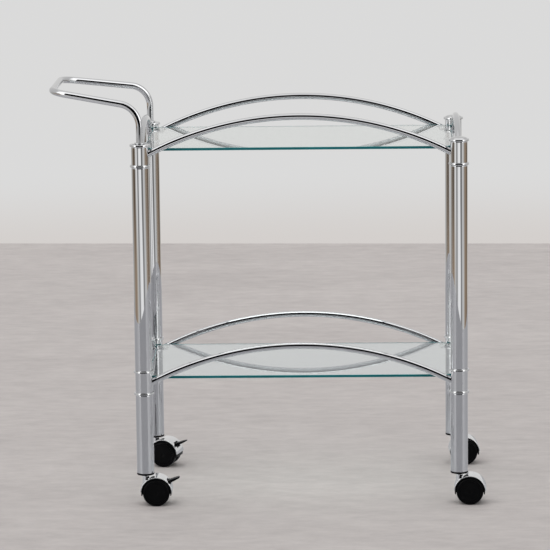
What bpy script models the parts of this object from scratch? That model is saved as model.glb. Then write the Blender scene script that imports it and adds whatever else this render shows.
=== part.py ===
"""Two-tier glass and chrome trolley on four twin-wheel swivel casters.

Frame: metres, +Z up, floor at Z = 0, origin at the middle of the footprint box.
The push handle is at the -X end, the casters trail towards +X.
Every sub-part is one named object; moving pieces hang from an empty that lies
on their joint's axis.
"""
import math

import bmesh
import bpy
from mathutils import Matrix, Vector

for old in list(bpy.data.objects):
    bpy.data.objects.remove(old, do_unlink=True)

# ---------------------------------------------------------------- dimensions
MM = 0.001
GAP = 0.0003                  # clearance between touching pieces

ORIGIN_X = 0.0599             # post rectangle's centre in the part's frame
ORIGIN_Y = 0.0003
POST_DX = 0.583               # post spacing, centre to centre
POST_DY = 0.318
POST_R = 0.0160               # 32 mm tube
POST_WALL = 0.0015
BEAD_R = 0.0188               # rings round the collars
BEAD_H = 0.0040

LEG_BOTTOM = 0.0575
LEG_FLANGE = 0.0032
LOWER_COLLAR = (0.2090, 0.2550)
UPPER_COLLAR = (0.6341, 0.6722)
TALL_TOP = 0.6777             # right-hand upper collars stand higher under their domes
DOME_TOP = 0.6862

GLASS_T = 0.0050
GLASS_TOP = (0.2422, 0.6679)  # lower and upper shelf
GLASS_X = 0.2845              # half sizes
GLASS_Y = 0.1521
GLASS_NOTCH = 0.0200          # corner notch radius about the post's axis

RAIL_R = 0.0060
RAIL_END = (0.2325, 0.6583)   # rail centre line where it meets the collars
RAIL_RISE_LONG = 0.0665
RAIL_RISE_END = 0.0450

HANDLE_R = 0.00635
HANDLE_FOOT = 0.6520          # lower end of the handle, inside the upper collar
HANDLE_BEND_Z = 0.7441        # corner of the handle's side bend
HANDLE_BEND_R = 0.0416
HANDLE_BAR_X = -0.4563        # grip bar, measured from the post rectangle's centre
HANDLE_BAR_Z = 0.7676
HANDLE_BAR_HALF = 0.1061
HANDLE_CORNER_R = 0.0416

WHEEL_R = 0.0250
WHEEL_IN = 0.0056
WHEEL_OUT = 0.0215
TRAIL = 0.0200
HOOD_IN = 0.0262
HOOD_OUT = 0.0281
HOOD_HALF = 0.0200
WEB_HALF = 0.0050
COVER_IN = 0.0284
COVER_OUT = 0.0299
STEM_R = 0.00325
AXLE_R = 0.0025
PIN_R = 0.0015                # brake lever's trunnions
PIN_DIST = 0.0296             # trunnions' distance from the axle
PIN_ANGLE = math.radians(38.0)
PEDAL_ANGLE = math.radians(24.0)
PEDAL_LEN = 0.0215
LEVER_HALF = 0.0070

SIDES_POST = 16
SIDES_WHEEL = 20              # flats touch the floor

XS = POST_DX / 2.0
YS = POST_DY / 2.0
POSTS = {
    "front_left": (-XS, -YS),
    "front_right": (XS, -YS),
    "rear_left": (-XS, YS),
    "rear_right": (XS, YS),
}
# rest heading of each caster: 0 trails towards +X, positive towards -Y
HEADINGS = {"front_left": 0.0, "front_right": 3.0, "rear_left": 16.0, "rear_right": -2.0}
BRAKED = ("front_left", "rear_left")

# ----------------------------------------------------------------- materials


def finish(name, colour, metallic, roughness, alpha=1.0, transmission=0.0):
    mat = bpy.data.materials.new(name)
    mat.use_nodes = True
    bsdf = mat.node_tree.nodes["Principled BSDF"]
    bsdf.inputs["Base Color"].default_value = (*colour, 1.0)
    bsdf.inputs["Metallic"].default_value = metallic
    bsdf.inputs["Roughness"].default_value = roughness
    bsdf.inputs["Alpha"].default_value = alpha
    bsdf.inputs["Transmission Weight"].default_value = transmission
    mat.diffuse_color = (*colour, alpha)
    return mat


CHROME = ((0.80, 0.80, 0.82), 1.0, 0.08)
STEEL = ((0.55, 0.55, 0.57), 1.0, 0.30)
BLACK = ((0.012, 0.012, 0.013), 0.0, 0.38)
CLEAR = ((0.72, 0.86, 0.83), 0.0, 0.03, 0.35, 0.9)

# -------------------------------------------------------------- mesh helpers


def tidy(bm):
    bmesh.ops.remove_doubles(bm, verts=bm.verts, dist=1e-6)
    bmesh.ops.dissolve_degenerate(bm, dist=1e-7, edges=bm.edges)
    bmesh.ops.recalc_face_normals(bm, faces=bm.faces)


def to_mesh(bm, name):
    tidy(bm)
    mesh = bpy.data.meshes.new(name)
    bm.to_mesh(mesh)
    bm.free()
    return mesh


def lathe(profile, steps, axis="Z"):
    """Turn a closed (radius, height) outline about the axis; radius 0 is a pole."""
    bm = bmesh.new()
    verts = [bm.verts.new((r, 0.0, z)) for r, z in profile]
    edges = []
    n = len(verts)
    for i in range(n):
        j = (i + 1) % n
        if profile[i][0] < 1e-9 and profile[j][0] < 1e-9:
            continue
        edges.append(bm.edges.new((verts[i], verts[j])))
    bmesh.ops.spin(bm, geom=verts + edges, cent=(0, 0, 0), axis=(0, 0, 1),
                   angle=2.0 * math.pi, steps=steps, use_merge=True, use_duplicate=False)
    mesh = to_mesh(bm, "turned")
    if axis == "Y":
        mesh.transform(Matrix.Rotation(math.radians(-90.0), 4, "X"))
    elif axis == "X":
        mesh.transform(Matrix.Rotation(math.radians(90.0), 4, "Y"))
    return mesh


def plate(outline, low, high, plane="XY"):
    """Extrude a closed outline from low to high along the plane's normal."""
    bm = bmesh.new()
    face = bm.faces.new([bm.verts.new((a, b, low)) for a, b in outline])
    made = bmesh.ops.extrude_face_region(bm, geom=[face])
    bmesh.ops.translate(bm, vec=(0, 0, high - low),
                        verts=[g for g in made["geom"] if isinstance(g, bmesh.types.BMVert)])
    mesh = to_mesh(bm, "plate")
    if plane == "XZ":           # outline in X and Z, thickness along Y
        mesh.transform(Matrix(((1, 0, 0, 0), (0, 0, 1, 0), (0, 1, 0, 0), (0, 0, 0, 1))))
        mesh.flip_normals()
    return mesh


def rod(points, radius, rings):
    """Round bar along a poly-line, as a bevelled curve with filled ends."""
    curve = bpy.data.curves.new("path", "CURVE")
    curve.dimensions = "3D"
    curve.bevel_depth = radius
    curve.bevel_resolution = rings
    curve.use_fill_caps = True
    spline = curve.splines.new("POLY")
    spline.points.add(len(points) - 1)
    for p, co in zip(spline.points, points):
        p.co = (*co, 1.0)
    holder = bpy.data.objects.new("path", curve)
    bpy.context.scene.collection.objects.link(holder)
    graph = bpy.context.evaluated_depsgraph_get()
    mesh = bpy.data.meshes.new_from_object(holder.evaluated_get(graph))
    bpy.data.objects.remove(holder, do_unlink=True)
    bpy.data.curves.remove(curve)
    bm = bmesh.new()
    bm.from_mesh(mesh)
    tidy(bm)
    bm.to_mesh(mesh)
    bm.free()
    return mesh


def moved(mesh, x=0.0, y=0.0, z=0.0, turn=0.0):
    copy = mesh.copy()
    copy.transform(Matrix.Translation((x, y, z)) @ Matrix.Rotation(turn, 4, "Z"))
    return copy


def combine(base, tool, operation):
    """Apply one Boolean and return the result as a new mesh."""
    a = bpy.data.objects.new("base", base)
    b = bpy.data.objects.new("tool", tool)
    for ob in (a, b):
        bpy.context.scene.collection.objects.link(ob)
    b.hide_render = True
    b.display_type = "WIRE"
    mod = a.modifiers.new("combine", "BOOLEAN")
    mod.operation = operation
    mod.solver = "EXACT"
    mod.object = b
    graph = bpy.context.evaluated_depsgraph_get()
    result = bpy.data.meshes.new_from_object(a.evaluated_get(graph))
    for ob in (a, b):
        bpy.data.objects.remove(ob, do_unlink=True)
    bm = bmesh.new()
    bm.from_mesh(result)
    bmesh.ops.remove_doubles(bm, verts=bm.verts, dist=1e-6)
    bmesh.ops.dissolve_limit(bm, angle_limit=math.radians(0.5), verts=bm.verts, edges=bm.edges)
    bm.to_mesh(result)
    bm.free()
    return result


def union(a, b):
    return combine(a, b, "UNION")


def minus(a, b):
    return combine(a, b, "DIFFERENCE")


def node(name, mesh, look, parent=None, loc=(0, 0, 0)):
    mesh = mesh.copy()
    mesh.name = name
    mesh.materials.clear()
    mesh.materials.append(finish(name, *look))
    mesh.shade_smooth()
    mesh.set_sharp_from_angle(angle=math.radians(35.0))
    ob = bpy.data.objects.new(name, mesh)
    bpy.context.scene.collection.objects.link(ob)
    ob.location = loc
    if parent is not None:
        ob.parent = parent
    return ob


def empty(name, loc, turn=0.0, parent=None):
    ob = bpy.data.objects.new(name, None)
    bpy.context.scene.collection.objects.link(ob)
    ob.location = loc
    ob.rotation_euler = (0.0, 0.0, turn)
    if parent is not None:
        ob.parent = parent
    return ob


def arc(cx, cy, r, a0, a1, n):
    return [(cx + r * math.cos(a0 + (a1 - a0) * i / max(n, 1)), cy + r * math.sin(a0 + (a1 - a0) * i / max(n, 1)))
            for i in range(n + 1)]


def drum(r, low, high, steps, axis="Z"):
    return lathe([(0, low), (r, low), (r, high), (0, high)], steps, axis)


def bead(z0):
    return [(POST_R, z0), (BEAD_R, z0 + 0.25 * BEAD_H), (BEAD_R, z0 + 0.75 * BEAD_H), (POST_R, z0 + BEAD_H)]


trolley = empty("trolley", (ORIGIN_X, ORIGIN_Y, 0.0))

# --------------------------------------------------------------------- posts
BORE_R = POST_R - POST_WALL
SPIGOT_R = BORE_R - GAP       # plugs of the collars that the tubes slip over
SPIGOT_L = 0.0200
PEG_R = HANDLE_R + GAP        # blind bore in the upper collars' tops
PAD_SEAT_DIST = 0.0330        # shelf seats, from the post's axis along the diagonal
PAD_SEAT_R = 0.0070


def tube(low, high):
    return lathe([(BORE_R, low), (POST_R, low), (POST_R, high), (BORE_R, high)], SIDES_POST)


def seated(collar, tier):
    """Add the short arm and round seat that carry one corner of the glass."""
    top = GLASS_TOP[tier] - GLASS_T - GAP
    arm = lathe([(0, 0.0100), (0.0035, 0.0100), (0.0035, PAD_SEAT_DIST + 0.0045),
                 (0, PAD_SEAT_DIST + 0.0045)], 10, axis="X")
    collar = union(collar, moved(arm, 0, 0, top - 0.0046))
    return union(collar, moved(drum(PAD_SEAT_R, top - 0.0030, top, 16), PAD_SEAT_DIST))


leg_mesh = tube(LEG_BOTTOM + LEG_FLANGE + GAP, LOWER_COLLAR[0] - GAP)
middle_mesh = tube(LOWER_COLLAR[1] + GAP, UPPER_COLLAR[0] - GAP)
z0, z1 = LOWER_COLLAR
lower_collar_mesh = seated(
    lathe([(0, z0 - SPIGOT_L), (SPIGOT_R, z0 - SPIGOT_L), (SPIGOT_R, z0)] + bead(z0) + bead(z1 - BEAD_H)
          + [(SPIGOT_R, z1), (SPIGOT_R, z1 + SPIGOT_L), (0, z1 + SPIGOT_L)], SIDES_POST), 0)
z0 = UPPER_COLLAR[0]


def upper_collar(top):
    return seated(
        lathe([(0, z0 - SPIGOT_L), (SPIGOT_R, z0 - SPIGOT_L), (SPIGOT_R, z0)] + bead(z0)
              + [(POST_R, top), (PEG_R, top), (PEG_R, HANDLE_FOOT - GAP), (0, HANDLE_FOOT - GAP)], SIDES_POST), 1)


def cap_edge(low):
    """Rounded rim of a cap that sits on a collar."""
    return [(POST_R - 0.0012, low), (BEAD_R - 0.0008, low), (BEAD_R, low + 0.0010),
            (BEAD_R, low + 0.0030), (BEAD_R - 0.0014, low + 0.0041)]


upper_collars = {"left": upper_collar(UPPER_COLLAR[1]), "right": upper_collar(TALL_TOP)}
low = TALL_TOP + GAP
dome_mesh = lathe([(0, HANDLE_FOOT + 0.0010), (HANDLE_R, HANDLE_FOOT + 0.0010), (HANDLE_R, low)]
                  + cap_edge(low) + [(POST_R - 0.0008, low + 0.0050), (0.0108, DOME_TOP - 0.0013),
                                     (0.0055, DOME_TOP - 0.0003), (0, DOME_TOP)], SIDES_POST)
low = UPPER_COLLAR[1] + GAP
ring_mesh = lathe([(0, low)] + cap_edge(low) + [(HANDLE_R + 0.002, low + 0.0048), (0, low + 0.0048)], SIDES_POST)

for where, (px, py) in POSTS.items():
    at = (px, py, 0.0)
    inward = math.atan2(-py / YS, -px / XS)
    node(where + "_lower_leg", leg_mesh, CHROME, trolley, at)
    node(where + "_lower_collar", moved(lower_collar_mesh, turn=inward), CHROME, trolley, at)
    node(where + "_middle_post", middle_mesh, CHROME, trolley, at)
    node(where + "_upper_collar", moved(upper_collars[where.split("_")[1]], turn=inward), CHROME, trolley, at)
    if where.endswith("right"):
        node(where + "_domed_cap", dome_mesh, CHROME, trolley, at)

# ---------------------------------------------------------------- glass tiers
outline = []
for sx, sy in ((1, 1), (-1, 1), (-1, -1), (1, -1)):
    # concave notch about the post, between its crossings with the two edges
    cx, cy = sx * XS, sy * YS
    on_long = cx - sx * math.sqrt(GLASS_NOTCH ** 2 - (YS - GLASS_Y) ** 2), sy * GLASS_Y
    on_end = sx * GLASS_X, cy - sy * math.sqrt(GLASS_NOTCH ** 2 - (XS - GLASS_X) ** 2)
    first, last = (on_end, on_long) if sx * sy > 0 else (on_long, on_end)
    a0 = math.atan2(first[1] - cy, first[0] - cx)
    a1 = math.atan2(last[1] - cy, last[0] - cx)
    while a1 - a0 > math.pi:
        a1 -= 2.0 * math.pi
    while a1 - a0 < -math.pi:
        a1 += 2.0 * math.pi
    outline += arc(cx, cy, GLASS_NOTCH, a0, a1, 8)
for tier, label in enumerate(("lower", "upper")):
    top = GLASS_TOP[tier]
    node(label + "_glass_shelf", plate(outline, top - GLASS_T, top), CLEAR, trolley)

# ---------------------------------------------------------------- arched rails


def arch(half, rise, z_end, n):
    """Points of a circular arch between -half and +half."""
    radius = (half * half + rise * rise) / (2.0 * rise)
    sweep = math.asin(half / radius)
    return [(radius * math.sin(sweep * (2.0 * i / n - 1.0)),
             z_end + rise - radius + radius * math.cos(sweep * (2.0 * i / n - 1.0))) for i in range(n + 1)]


cope = drum(POST_R + GAP, 0.15, 0.75, 40)
for tier, label in enumerate(("lower", "upper")):
    for side, sy in (("front", -1), ("rear", 1)):
        pts = [(u, sy * YS, z) for u, z in arch(XS - POST_R + 0.003, RAIL_RISE_LONG + 0.0014,
                                                RAIL_END[tier] - 0.0014, 12)]
        mesh = rod(pts, RAIL_R, 2)
        for sx in (-1, 1):
            mesh = minus(mesh, moved(cope, sx * XS, sy * YS))
        node("%s_%s_rail" % (label, side), mesh, CHROME, trolley)
    for side, sx in (("left", -1), ("right", 1)):
        pts = [(sx * XS, v, z) for v, z in arch(YS - POST_R + 0.003, RAIL_RISE_END + 0.0018,
                                                RAIL_END[tier] - 0.0018, 8)]
        mesh = rod(pts, RAIL_R, 2)
        for sy in (-1, 1):
            mesh = minus(mesh, moved(cope, sx * XS, sy * YS))
        node("%s_%s_rail" % (label, side), mesh, CHROME, trolley)

# ----------------------------------------------------------------- push handle


def filleted(corners, radii, steps):
    """Poly-line through the corners with a circular fillet at each inner one."""
    out = [Vector(corners[0])]
    for i in range(1, len(corners) - 1):
        here = Vector(corners[i])
        back = (Vector(corners[i - 1]) - here).normalized()
        ahead = (Vector(corners[i + 1]) - here).normalized()
        half = 0.5 * back.angle(ahead)
        run = radii[i - 1] / math.tan(half)
        centre = here + (back + ahead).normalized() * (radii[i - 1] / math.sin(half))
        e0 = here + back * run - centre
        e1 = here + ahead * run - centre
        whole = e0.angle(e1)
        for k in range(steps[i - 1] + 1):
            t = k / steps[i - 1]
            out.append(centre + (e0 * math.sin((1 - t) * whole) + e1 * math.sin(t * whole)) / math.sin(whole))
    out.append(Vector(corners[-1]))
    return out


bar_x, bar_z, bar_y = HANDLE_BAR_X, HANDLE_BAR_Z, HANDLE_BAR_HALF
handle_path = filleted(
    [(-XS, -YS, HANDLE_FOOT), (-XS, -YS, HANDLE_BEND_Z), (bar_x, -bar_y, bar_z),
     (bar_x, bar_y, bar_z), (-XS, YS, HANDLE_BEND_Z), (-XS, YS, HANDLE_FOOT)],
    (HANDLE_BEND_R, HANDLE_CORNER_R, HANDLE_CORNER_R, HANDLE_BEND_R), (6, 5, 5, 6))
handle_mesh = rod(handle_path, HANDLE_R, 2)
for sy in (-1, 1):
    handle_mesh = union(handle_mesh, moved(ring_mesh, -XS, sy * YS))
node("push_handle", handle_mesh, CHROME, trolley)

# ------------------------------------------------------- leg plugs and stems
plug = lathe([(STEM_R + GAP, LEG_BOTTOM), (POST_R + 0.0002, LEG_BOTTOM),
              (POST_R + 0.0002, LEG_BOTTOM + LEG_FLANGE), (SPIGOT_R, LEG_BOTTOM + LEG_FLANGE),
              (SPIGOT_R, LEG_BOTTOM + 0.034), (STEM_R + GAP, LEG_BOTTOM + 0.034)], SIDES_POST)
BOSS_TOP = 0.0553
BOSS_R = 0.0048               # the hood's boss round the stem, inside the chromed neck
NECK_R = 0.0062
stem = lathe([(0, 0.0300), (STEM_R, 0.0300), (STEM_R, BOSS_TOP + GAP), (0.0065, BOSS_TOP + GAP),
              (0.0065, LEG_BOTTOM - GAP), (STEM_R, LEG_BOTTOM - GAP), (STEM_R, LEG_BOTTOM + 0.031),
              (0, LEG_BOTTOM + 0.031)], 14)
for where, (px, py) in POSTS.items():
    node(where + "_leg_end_plug", plug, BLACK, trolley, (px, py, 0.0))
    node(where + "_caster_stem", stem, STEEL, trolley, (px, py, 0.0))

# --------------------------------------------------------------------- casters
PIN_X = TRAIL + PIN_DIST * math.cos(PIN_ANGLE)
PIN_Z = WHEEL_R + PIN_DIST * math.sin(PIN_ANGLE)


def cross_drum(r, y0, y1, x, z, steps):
    """Cylinder along Y at (x, z)."""
    mesh = drum(r, y0, y1, steps, axis="Y")
    mesh.transform(Matrix.Translation((x, 0.0, z)))
    return mesh


def hood(braked):
    lip = math.radians(10.0)
    side = arc(TRAIL, WHEEL_R, HOOD_OUT, -lip, math.pi + lip, 18)
    body = plate(side, -HOOD_HALF, HOOD_HALF, "XZ")
    body = union(body, drum(BOSS_R, 0.0400, BOSS_TOP, 14))
    if braked:
        for s in (-1, 1):
            y0, y1 = sorted((s * 0.0073, s * 0.0095))
            body = union(body, cross_drum(0.0034, y0, y1, PIN_X, PIN_Z, 12))
    for s in (-1, 1):
        y0, y1 = sorted((s * WEB_HALF, s * (HOOD_HALF + 0.002)))
        body = minus(body, cross_drum(HOOD_IN, y0, y1, TRAIL, WHEEL_R, 28))
    body = minus(body, cross_drum(AXLE_R + GAP, -0.008, 0.008, TRAIL, WHEEL_R, 12))
    body = minus(body, drum(STEM_R + GAP, 0.0295, 0.060, 14))
    if braked:
        body = minus(body, cross_drum(0.0049, -0.0073, 0.0073, PIN_X, PIN_Z, 14))
        body = minus(body, cross_drum(PIN_R + GAP, -0.012, 0.012, PIN_X, PIN_Z, 10))
    return body


def cover(braked):
    low, high, more = math.radians(4.0), math.radians(176.0), math.radians(10.0)
    body = plate(arc(TRAIL, WHEEL_R, COVER_OUT, low, high, 14), -HOOD_HALF, HOOD_HALF, "XZ")
    body = union(body, drum(NECK_R, 0.0370, BOSS_TOP, 16))
    inner = (arc(TRAIL, WHEEL_R, COVER_IN, low - more, low - more, 0) + arc(TRAIL, WHEEL_R, COVER_IN, low, high, 14)
             + arc(TRAIL, WHEEL_R, COVER_IN, high + more, high + more, 0))
    body = minus(body, plate(inner, -HOOD_HALF - 0.002, HOOD_HALF + 0.002, "XZ"))
    body = minus(body, drum(BOSS_R + GAP, 0.030, 0.070, 16))
    if braked:
        body = minus(body, cross_drum(0.0062, -0.0099, 0.0099, PIN_X, PIN_Z, 14))
    return body


def wheel():
    """One wheel of a twin, inner face towards -Y, blind axle hole."""
    r = WHEEL_R / math.cos(math.pi / SIDES_WHEEL)
    mesh = lathe([(0, WHEEL_OUT - 0.0030), (AXLE_R + GAP, WHEEL_OUT - 0.0030), (AXLE_R + GAP, WHEEL_IN),
                  (r - 0.0018, WHEEL_IN), (r, WHEEL_IN + 0.0020), (r, WHEEL_OUT - 0.0045),
                  (r - 0.0020, WHEEL_OUT - 0.0012), (r - 0.0060, WHEEL_OUT), (0, WHEEL_OUT)],
                 SIDES_WHEEL, axis="Y")
    mesh.transform(Matrix.Rotation(math.pi / SIDES_WHEEL, 4, "Y"))
    return mesh


def lever():
    """Brake pedal with a cam hub and two trunnions, about their axis, at rest angle."""
    hub = []
    n = 16
    for i in range(n + 1):
        deg = 322.0 - (322.0 - 38.0) * i / n
        bump = 0.0011 * math.exp(-((deg - 216.0) / 17.0) ** 2)
        r = 0.0032 + bump
        hub.append((r * math.cos(math.radians(deg)), r * math.sin(math.radians(deg))))
    side = [(PEDAL_LEN - 0.0010, 0.0014), (PEDAL_LEN, 0.0004), (PEDAL_LEN, -0.0008),
            (PEDAL_LEN - 0.0012, -0.0016)] + hub
    c, s = math.cos(PEDAL_ANGLE), math.sin(PEDAL_ANGLE)
    side = [(a * c - b * s, a * s + b * c) for a, b in side]
    body = plate(side, -LEVER_HALF, LEVER_HALF, "XZ")
    return union(body, cross_drum(PIN_R, -0.0093, 0.0093, 0.0, 0.0, 12))


hoods = {b: hood(b) for b in (False, True)}
covers = {b: cover(b) for b in (False, True)}
wheel_mesh = wheel()
mirrored = wheel_mesh.copy()
mirrored.transform(Matrix.Rotation(math.pi, 4, "Z"))
lever_mesh = lever()
axle_mesh = drum(AXLE_R, -(WHEEL_OUT - 0.0030 - GAP), WHEEL_OUT - 0.0030 - GAP, 12, axis="Y")

for where, (px, py) in POSTS.items():
    braked = where in BRAKED
    swivel = empty(where + "_swivel", (px, py, 0.0), math.radians(-HEADINGS[where]), trolley)
    axle_at = (TRAIL, 0.0, WHEEL_R)
    node(where + "_caster_hood", hoods[braked], BLACK, swivel)
    node(where + "_caster_chrome_cover", covers[braked], CHROME, swivel)
    node(where + "_caster_axle", axle_mesh, STEEL, swivel, axle_at)
    node(where + "_caster_wheel_a", mirrored, BLACK, swivel, axle_at)
    node(where + "_caster_wheel_b", wheel_mesh, BLACK, swivel, axle_at)
    if braked:
        node(where + "_brake_lever", lever_mesh, BLACK, swivel, (PIN_X, 0.0, PIN_Z))
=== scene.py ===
"""Looks of the two-tier glass and chrome trolley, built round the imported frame.

Every visible CAD node is replaced by a finer piece in the same place: turned
posts, collars and caps, swept rails and handle, glass with ground edges, and
twin-wheel casters. Sizes and places come from the nodes' own boxes.
"""

import math

import bmesh
import bpy
from mathutils import Matrix, Vector


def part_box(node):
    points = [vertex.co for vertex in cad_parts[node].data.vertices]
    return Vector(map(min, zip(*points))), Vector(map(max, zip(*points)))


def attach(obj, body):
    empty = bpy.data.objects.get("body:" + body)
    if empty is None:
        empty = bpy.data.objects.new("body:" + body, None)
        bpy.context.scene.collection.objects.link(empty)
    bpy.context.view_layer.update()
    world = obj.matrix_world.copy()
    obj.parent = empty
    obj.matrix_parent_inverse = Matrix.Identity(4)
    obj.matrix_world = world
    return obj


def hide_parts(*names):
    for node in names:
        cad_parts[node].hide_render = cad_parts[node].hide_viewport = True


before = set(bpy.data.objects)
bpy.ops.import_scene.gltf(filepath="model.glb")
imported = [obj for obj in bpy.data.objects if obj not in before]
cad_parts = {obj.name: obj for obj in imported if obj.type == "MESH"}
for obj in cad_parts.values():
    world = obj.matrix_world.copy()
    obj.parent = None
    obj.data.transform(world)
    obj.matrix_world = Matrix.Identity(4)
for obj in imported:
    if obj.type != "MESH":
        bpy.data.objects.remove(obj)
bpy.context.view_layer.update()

MM = 0.001
GAP = 0.0003
CORNERS = ("front_left", "front_right", "rear_left", "rear_right")
BRAKED = ("front_left", "rear_left")

# ------------------------------------------------------------------ the camera
cam_data = bpy.data.cameras.new("camera")
cam = bpy.data.objects.new("camera", cam_data)
bpy.context.scene.collection.objects.link(cam)
cam_data.sensor_width = 36.0
cam_data.lens = 208.0224
cam_data.clip_start, cam_data.clip_end = 0.1, 100.0
cam.location = (0.15925, -5.91499, 1.44526)
cam.rotation_euler = (math.radians(80.01744), math.radians(0.65196), math.radians(1.33815))
bpy.context.scene.camera = cam
bpy.context.scene.view_settings.view_transform = "Standard"
bpy.context.scene.view_settings.look = "None"

# ------------------------------------------------------------- material helpers


class Nodes:
    """Small helper for writing a node tree in code."""

    def __init__(self, tree):
        self.tree = tree
        tree.nodes.clear()

    def add(self, kind, **values):
        node = self.tree.nodes.new(kind)
        for key, value in values.items():
            setattr(node, key, value)
        return node

    def link(self, a, b):
        self.tree.links.new(a, b)

    def math(self, operation, a, b=None, c=None, clamp=False):
        node = self.add("ShaderNodeMath", operation=operation, use_clamp=clamp)
        for socket, value in zip(node.inputs, (a, b, c)):
            if value is None:
                continue
            if isinstance(value, (int, float)):
                socket.default_value = value
            else:
                self.link(value, socket)
        return node.outputs[0]

    def ramp(self, value, stops, interpolation="LINEAR"):
        node = self.add("ShaderNodeValToRGB")
        node.color_ramp.interpolation = interpolation
        elements = node.color_ramp.elements
        while len(elements) > 1:
            elements.remove(elements[-1])
        elements[0].position = stops[0][0]
        elements[0].color = (*stops[0][1], 1.0)
        for position, colour in stops[1:]:
            element = elements.new(position)
            element.color = (*colour, 1.0)
        self.link(value, node.inputs["Fac"])
        return node.outputs["Color"]

    def span(self, value, low, high, to_low, to_high):
        """Smoothly map value from low..high to to_low..to_high."""
        node = self.add("ShaderNodeMapRange", interpolation_type="SMOOTHSTEP")
        self.link(value, node.inputs["Value"])
        for socket, number in zip(("From Min", "From Max", "To Min", "To Max"), (low, high, to_low, to_high)):
            node.inputs[socket].default_value = number
        return node.outputs["Result"]

    def mix(self, factor, a, b):
        node = self.add("ShaderNodeMix", data_type="RGBA")
        colour_in = [s for s in node.inputs if s.type == "RGBA"]
        factor_in = [s for s in node.inputs if s.type == "VALUE"][0]
        for socket, value in ((factor_in, factor), (colour_in[0], a), (colour_in[1], b)):
            if isinstance(value, (int, float)):
                socket.default_value = value
            elif isinstance(value, tuple):
                socket.default_value = (*value, 1.0)
            else:
                self.link(value, socket)
        return [s for s in node.outputs if s.type == "RGBA"][0]

    def noise(self, scale, detail=2.0, roughness=0.5, stretch=(1, 1, 1), distortion=0.0):
        place = self.add("ShaderNodeTexCoord")
        mapping = self.add("ShaderNodeMapping")
        mapping.inputs["Scale"].default_value = stretch
        self.link(place.outputs["Object"], mapping.inputs["Vector"])
        node = self.add("ShaderNodeTexNoise")
        node.inputs["Scale"].default_value = scale
        node.inputs["Detail"].default_value = detail
        node.inputs["Roughness"].default_value = roughness
        node.inputs["Distortion"].default_value = distortion
        self.link(mapping.outputs["Vector"], node.inputs["Vector"])
        return node.outputs["Fac"]

    def bump(self, height, strength, distance):
        node = self.add("ShaderNodeBump")
        node.inputs["Strength"].default_value = strength
        node.inputs["Distance"].default_value = distance
        self.link(height, node.inputs["Height"])
        return node.outputs["Normal"]


def new_material(name):
    mat = bpy.data.materials.new(name)
    mat.use_nodes = True
    nodes = Nodes(mat.node_tree)
    out = nodes.add("ShaderNodeOutputMaterial")
    bsdf = nodes.add("ShaderNodeBsdfPrincipled")
    nodes.link(bsdf.outputs["BSDF"], out.inputs["Surface"])
    return mat, nodes, bsdf, out


def chrome_material(name, base, low, high, wave, wave_scale, stretch=(1, 1, 1)):
    """Bright chrome plate: faint smears in the gloss, a very slight waviness in the tube wall."""
    mat, n, bsdf, _ = new_material(name)
    bsdf.inputs["Metallic"].default_value = 1.0
    smear = n.noise(34.0, 4.0, 0.6, stretch)
    dust = n.noise(260.0, 2.0, 0.5)
    tint = n.ramp(n.noise(9.0, 3.0, 0.55), [(0.30, tuple(c * 0.965 for c in base)), (0.70, base)])
    n.link(tint, bsdf.inputs["Base Color"])
    gloss = n.math("ADD", n.span(smear, 0.42, 0.75, low, high), n.span(dust, 0.62, 0.80, 0.0, 0.02))
    n.link(gloss, bsdf.inputs["Roughness"])
    n.link(n.bump(n.noise(wave_scale, 1.0, 0.4, stretch), 1.0, wave), bsdf.inputs["Normal"])
    return mat


CHROME = (0.635, 0.640, 0.655)
M_TUBE = chrome_material("chrome_tube", CHROME, 0.012, 0.035, 0.000004, 14.0, (1, 1, 0.35))
M_RAIL = chrome_material("chrome_rail", CHROME, 0.012, 0.035, 0.000001, 12.0)
M_TURNED = chrome_material("chrome_turned", (0.66, 0.665, 0.675), 0.012, 0.040, 0.000002, 60.0)
M_COVER = chrome_material("chrome_cover", (0.82, 0.825, 0.835), 0.050, 0.110, 0.000006, 60.0)


def steel_material():
    mat, n, bsdf, _ = new_material("zinc_steel")
    bsdf.inputs["Metallic"].default_value = 1.0
    n.link(n.ramp(n.noise(300.0, 3.0, 0.6), [(0.3, (0.42, 0.42, 0.43)), (0.7, (0.58, 0.58, 0.59))]),
           bsdf.inputs["Base Color"])
    n.link(n.span(n.noise(500.0, 2.0, 0.5, (1, 1, 8)), 0.3, 0.7, 0.20, 0.38), bsdf.inputs["Roughness"])
    return mat


def plastic_material(name, colour, low, high, grain, depth, sheen=0.0):
    """Moulded black plastic: fine spark-eroded grain, slightly greyer where it is rubbed."""
    mat, n, bsdf, _ = new_material(name)
    worn = n.noise(55.0, 4.0, 0.6)
    n.link(n.ramp(worn, [(0.38, colour), (0.80, tuple(c * 1.55 + 0.001 for c in colour))]),
           bsdf.inputs["Base Color"])
    n.link(n.span(worn, 0.35, 0.75, low, high), bsdf.inputs["Roughness"])
    n.link(n.bump(n.noise(grain, 2.0, 0.6), 0.55, depth), bsdf.inputs["Normal"])
    bsdf.inputs["Specular IOR Level"].default_value = 0.09
    if sheen:
        bsdf.inputs["Sheen Weight"].default_value = sheen
        bsdf.inputs["Sheen Roughness"].default_value = 0.4
    return mat


M_STEEL = steel_material()
M_HOOD = plastic_material("black_hood_plastic", (0.0018, 0.0018, 0.0022), 0.28, 0.42, 2600.0, 0.00003)
M_WHEEL = plastic_material("black_wheel_plastic", (0.0013, 0.0013, 0.0016), 0.30, 0.44, 2200.0, 0.00004)
M_PLUG = plastic_material("black_plug_plastic", (0.0018, 0.0018, 0.0021), 0.40, 0.55, 2400.0, 0.00004)
M_LEVER = plastic_material("black_lever_plastic", (0.0030, 0.0032, 0.0040), 0.30, 0.44, 2400.0, 0.00003)


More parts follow.
